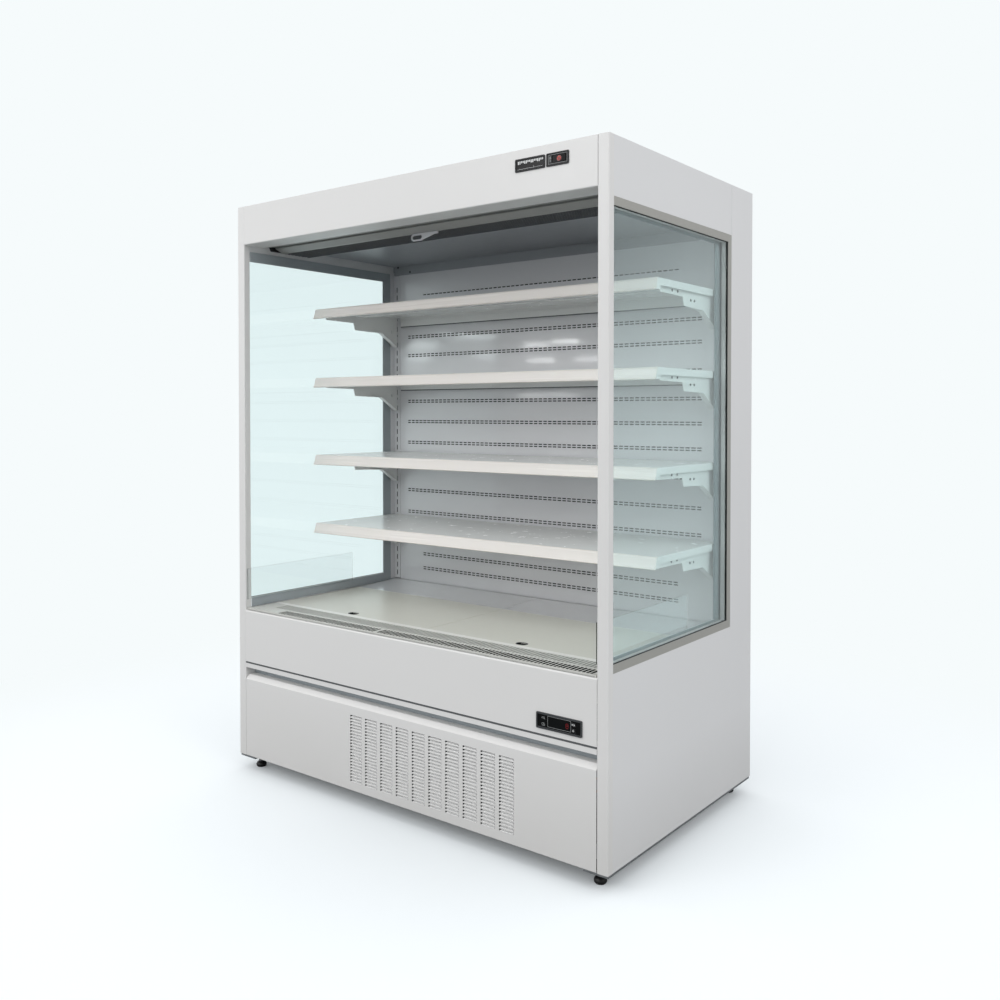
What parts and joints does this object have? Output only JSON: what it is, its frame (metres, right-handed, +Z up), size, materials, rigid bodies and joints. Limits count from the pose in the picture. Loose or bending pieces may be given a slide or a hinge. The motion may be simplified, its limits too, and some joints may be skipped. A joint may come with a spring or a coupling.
{
  "type": "open multideck display fridge",
  "caption": "Upright open-front display fridge with glazed end panels, hanging shelves, a lift-out deck, a pull-down night blind and a self-contained cooling unit.",
  "frame": {"origin": "on the floor under the middle of the overall box", "axes": "+Z up, the open front looks along -Y, +X is the right-hand end seen from the front"},
  "size_m": [1.54, 0.914, 2],
  "materials": {
    "white_paint": "semi-gloss powder coat",
    "grey_paint": "gloss paint",
    "cream_paint": "gloss powder coat",
    "frame_alloy": "anodised",
    "window_glass": "polished",
    "clear_acrylic": "polished",
    "black_rubber": "matt",
    "black_plastic": "fine grain",
    "grey_plastic": "smooth",
    "ivory_plastic": "smooth",
    "red_plastic": "gloss",
    "galvanised": "zinc",
    "fin_alloy": "bare",
    "copper": "drawn",
    "blind_film": "coated film",
    "compressor_paint": "black enamel"
  },
  "bodies": {
    "cabinet": {"base_frame": "galvanised", "end_panel_right": "white_paint", "end_panel_left": "white_paint", "corner_posts": "white_paint", "window_frames": "frame_alloy", "window_panes": "window_glass", "window_seals": "black_rubber", "side_guards": "clear_acrylic", "insulated_shell": "white_paint", "tub": "white_paint", "duct_panel": "grey_paint", "shelf_uprights": "grey_paint", "shelf_brackets": "cream_paint", "rear_deck_plates": "grey_paint", "canopy_front": "white_paint", "blind_housing": "grey_plastic", "ceiling_panel": "grey_paint", "air_outlet": "black_plastic", "blind_brackets": "black_plastic", "apron_panel": "white_paint", "controller_bezel": "black_plastic", "thermometer_module": "black_plastic", "switch_housing": "black_plastic", "deck_frame": "galvanised", "evaporator_coil": "fin_alloy", "unit_tray": "galvanised", "condenser_coil": "fin_alloy", "condenser_shroud": "galvanised", "compressor": "compressor_paint", "refrigerant_pipes": "copper", "receiver": "compressor_paint", "electrical_box": "galvanised", "rear_grille": "galvanised", "cable_gland": "black_plastic"},
    "blind_roller": {"blind_roller": "frame_alloy"},
    "blind_bar": {"blind_bar": "frame_alloy", "blind_handle": "grey_plastic", "blind_curtain": "blind_film"},
    "deck_pan_left": {"deck_pan_left": "cream_paint"},
    "deck_pan_right": {"deck_pan_right": "cream_paint"},
    "return_grille": {"return_grille": "cream_paint"},
    "louvred_panel": {"louvred_panel": "white_paint"},
    "controller_key_upper": {"controller_key_upper": "black_rubber"},
    "controller_key_lower": {"controller_key_lower": "black_rubber"},
    "rocker_switch": {"rocker_switch": "red_plastic"},
    "evaporator_fan_left": {"evaporator_fan_left": "black_plastic"},
    "evaporator_fan_right": {"evaporator_fan_right": "black_plastic"},
    "condenser_fan": {"condenser_fan": "black_plastic"},
    "shelf_1": {"shelf_tray_1": "cream_paint", "price_rail_1": "ivory_plastic"},
    "shelf_2": {"shelf_tray_2": "cream_paint", "price_rail_2": "ivory_plastic"},
    "shelf_3": {"shelf_tray_3": "cream_paint", "price_rail_3": "ivory_plastic"},
    "shelf_4": {"shelf_tray_4": "cream_paint", "price_rail_4": "ivory_plastic"},
    "foot_front_left": {"foot_front_left": "black_rubber"},
    "foot_front_right": {"foot_front_right": "black_rubber"},
    "foot_rear_left": {"foot_rear_left": "black_rubber"},
    "foot_rear_right": {"foot_rear_right": "black_rubber"}
  },
  "joints": [
    {"name": "blind_pull", "type": "slide", "parent": "cabinet", "child": "blind_bar", "axis": [0, 0, -1], "range_m": [0, 1.24], "stiffness_N_per_m": 6, "springref_m": -2.6, "deforming": ["blind_curtain"]},
    {"name": "blind_roller_turn", "type": "hinge", "parent": "cabinet", "child": "blind_roller", "pos_m": [0, -0.3294, 1.912], "axis": [1, 0, 0], "range_deg": [-2950, 0]},
    {"name": "deck_pan_left_lift", "type": "slide", "parent": "cabinet", "child": "deck_pan_left", "axis": [0, 0, 1], "range_m": [0, 0.12]},
    {"name": "deck_pan_right_lift", "type": "slide", "parent": "cabinet", "child": "deck_pan_right", "axis": [0, 0, 1], "range_m": [0, 0.12]},
    {"name": "return_grille_lift", "type": "slide", "parent": "cabinet", "child": "return_grille", "axis": [0, 0, 1], "range_m": [0, 0.08]},
    {"name": "louvred_panel_pull", "type": "slide", "parent": "cabinet", "child": "louvred_panel", "axis": [0, -1, 0], "range_m": [0, 0.25]},
    {"name": "controller_key_upper_press", "type": "slide", "parent": "cabinet", "child": "controller_key_upper", "axis": [0, 1, 0], "range_m": [0, 0.0012], "stiffness_N_per_m": 400},
    {"name": "controller_key_lower_press", "type": "slide", "parent": "cabinet", "child": "controller_key_lower", "axis": [0, 1, 0], "range_m": [0, 0.0012], "stiffness_N_per_m": 400},
    {"name": "rocker_tilt", "type": "hinge", "parent": "cabinet", "child": "rocker_switch", "pos_m": [0.614, -0.449, 1.9565], "axis": [0, 0, 1], "range_deg": [0, 7.3]},
    {"name": "evaporator_fan_left_spin", "type": "hinge", "parent": "cabinet", "child": "evaporator_fan_left", "pos_m": [-0.35, -0.107, 0.48], "axis": [0, 1, 0], "continuous": true},
    {"name": "evaporator_fan_right_spin", "type": "hinge", "parent": "cabinet", "child": "evaporator_fan_right", "pos_m": [0.35, -0.107, 0.48], "axis": [0, 1, 0], "continuous": true},
    {"name": "condenser_fan_spin", "type": "hinge", "parent": "cabinet", "child": "condenser_fan", "pos_m": [0.13, -0.301, 0.2], "axis": [0, 1, 0], "continuous": true},
    {"name": "shelf_1_lift", "type": "slide", "parent": "cabinet", "child": "shelf_1", "axis": [0, 0, 1], "range_m": [0, 0.06]},
    {"name": "shelf_2_lift", "type": "slide", "parent": "cabinet", "child": "shelf_2", "axis": [0, 0, 1], "range_m": [0, 0.06]},
    {"name": "shelf_3_lift", "type": "slide", "parent": "cabinet", "child": "shelf_3", "axis": [0, 0, 1], "range_m": [0, 0.06]},
    {"name": "shelf_4_lift", "type": "slide", "parent": "cabinet", "child": "shelf_4", "axis": [0, 0, 1], "range_m": [0, 0.06]},
    {"name": "foot_front_left_turn", "type": "hinge", "parent": "cabinet", "child": "foot_front_left", "pos_m": [-0.715, -0.401, 0.045], "axis": [0, 0, 1], "continuous": true},
    {"name": "foot_front_right_turn", "type": "hinge", "parent": "cabinet", "child": "foot_front_right", "pos_m": [0.715, -0.401, 0.045], "axis": [0, 0, 1], "continuous": true},
    {"name": "foot_rear_left_turn", "type": "hinge", "parent": "cabinet", "child": "foot_rear_left", "pos_m": [-0.715, 0.405, 0.045], "axis": [0, 0, 1], "continuous": true},
    {"name": "foot_rear_right_turn", "type": "hinge", "parent": "cabinet", "child": "foot_rear_right", "pos_m": [0.715, 0.405, 0.045], "axis": [0, 0, 1], "continuous": true}
  ],
  "couplings": [
    {"joint": "blind_roller_turn", "follows": "blind_pull", "rad_per_m": -41.15}
  ]
}
